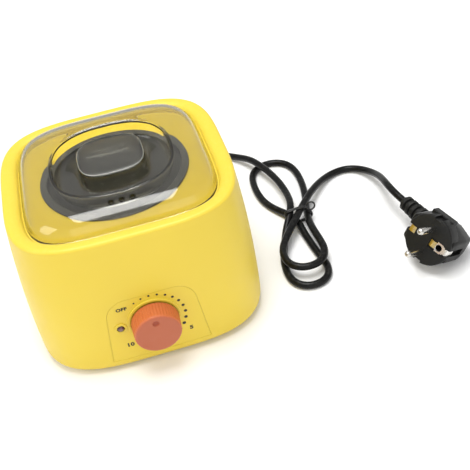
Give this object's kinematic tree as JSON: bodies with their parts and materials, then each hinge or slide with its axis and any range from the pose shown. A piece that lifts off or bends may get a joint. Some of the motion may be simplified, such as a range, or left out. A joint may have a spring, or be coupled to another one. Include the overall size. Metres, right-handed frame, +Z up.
{
  "type": "wax warmer",
  "caption": "Bowed square wax warmer with a lift-out pot, a clear lid with a sunk grip, a turning heat dial and a tied mains lead with an angled plug.",
  "frame": {"origin": "on the table under the middle of the footprint of the housing with its dial and cord gland", "axes": "+Z up, -Y out of the front with the dial, +X to the right as seen from the front"},
  "size_m": [0.3094, 0.2529, 0.1173],
  "materials": {
    "yellow_plastic": "smooth satin moulding",
    "orange_plastic": "satin moulding",
    "clear_plastic": "polished clear moulding",
    "pot_coating": "dark grey satin coating",
    "bare_aluminium": "spun",
    "foot_rubber": "matte",
    "black_rubber": "matte",
    "black_sheath": "smooth flexible sheath",
    "plug_black": "fine grained",
    "black_plastic": "plain",
    "pin_nickel": "nickel plated",
    "earth_brass": "bright",
    "screw_steel": "zinc plated",
    "strap_steel": "plain",
    "mica": "layered",
    "ceramic": "matte",
    "circuit_board": "laminate",
    "red_film": "moulded",
    "fuse_glass": "clear",
    "terminal_green": "moulded",
    "lamp_lens": "tinted",
    "brown_insulation": "plain",
    "blue_insulation": "plain",
    "earth_insulation": "plain",
    "white_insulation": "braided"
  },
  "bodies": {
    "housing": {"outer_shell": "yellow_plastic", "control_panel": "yellow_plastic", "base_plate": "yellow_plastic", "rubber_feet": "foot_rubber", "base_screws": "screw_steel", "heater_well": "bare_aluminium", "well_screws": "screw_steel", "heating_band": "mica", "band_strap": "strap_steel", "band_screw": "screw_steel", "thermostat": "black_plastic", "thermal_fuse": "ceramic", "fuse_clip": "strap_steel", "sensor_screws": "screw_steel", "potentiometer": "black_plastic", "panel_washer": "strap_steel", "panel_nut": "strap_steel", "control_board": "circuit_board", "board_screws": "screw_steel", "power_triac": "black_plastic", "film_capacitor": "red_film", "glass_fuse": "fuse_glass", "terminal_block": "terminal_green", "indicator_lamp": "lamp_lens", "live_lead": "brown_insulation", "neutral_lead": "blue_insulation", "earth_lead": "earth_insulation", "heater_leads": "white_insulation", "cord_gland": "black_rubber", "cord_tail": "black_sheath", "cord_clamp": "ceramic", "clamp_screws": "screw_steel", "mains_cord": "black_sheath", "cord_tie": "black_plastic", "plug_body": "plug_black", "plug_relief": "plug_black", "plug_pins": "pin_nickel", "plug_earth": "earth_brass"},
    "pot": {"wax_pot": "pot_coating"},
    "lid": {"lid": "clear_plastic"},
    "dial": {"dial_knob": "orange_plastic", "dial_shaft": "strap_steel"}
  },
  "joints": [
    {"name": "pot_lift", "type": "slide", "parent": "housing", "child": "pot", "axis": [0, 0, 1], "range_m": [0, 0.1]},
    {"name": "lid_lift", "type": "slide", "parent": "pot", "child": "lid", "axis": [0, 0, 1], "range_m": [0, 0.1]},
    {"name": "dial_turn", "type": "hinge", "parent": "housing", "child": "dial", "pos_m": [0, -0.08, 0.0385], "axis": [0, -1, 0], "range_deg": [-229, 52]}
  ]
}
